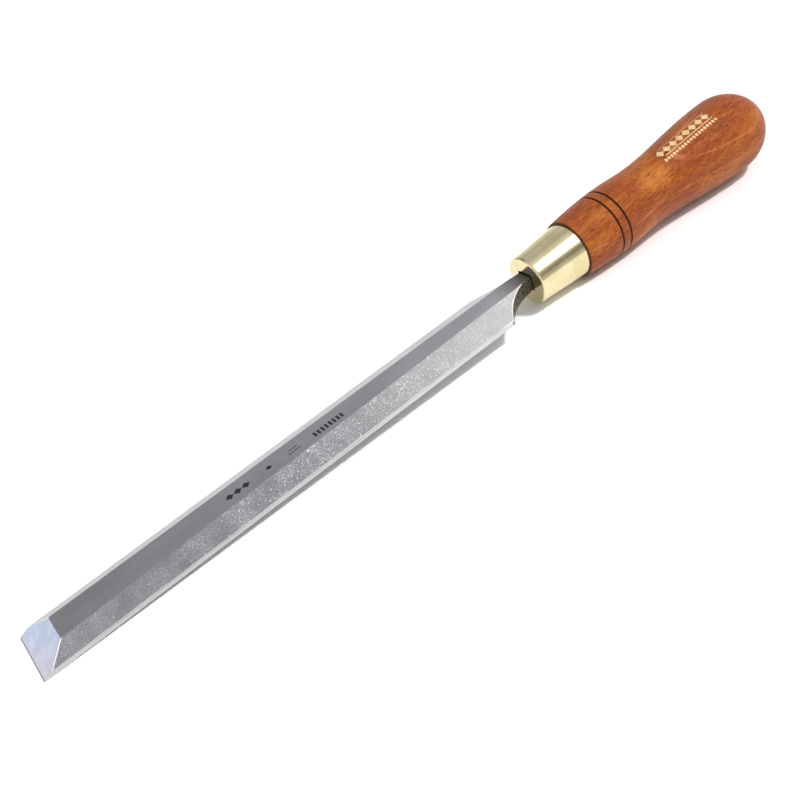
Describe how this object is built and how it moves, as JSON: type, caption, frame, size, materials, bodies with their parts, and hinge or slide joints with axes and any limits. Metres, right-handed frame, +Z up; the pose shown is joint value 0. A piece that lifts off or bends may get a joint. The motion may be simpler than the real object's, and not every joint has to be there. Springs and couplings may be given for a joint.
{
  "type": "bench chisel",
  "caption": "Long bevel-edged wood chisel: tanged flat-backed steel blade, tapered brass ferrule, turned hardwood handle with burnt lines and a domed butt.",
  "frame": {"origin": "middle of the cutting edge, on the flat back of the blade", "axes": "+X along the tool from the cutting edge to the butt, +Y across the blade, +Z up through the blade's thickness, with the flat back in the plane z = 0"},
  "size_m": [0.352, 0.0332, 0.0332],
  "materials": {
    "blade_steel": "ground, with a dull grey top flat",
    "ferrule_brass": "satin polished",
    "bedding_resin": "hardened glue",
    "handle_wood": "stained and satin lacquered"
  },
  "bodies": {
    "chisel": {"blade": "blade_steel", "ferrule": "ferrule_brass", "tang_bedding": "bedding_resin", "handle": "handle_wood"}
  },
  "joints": []
}
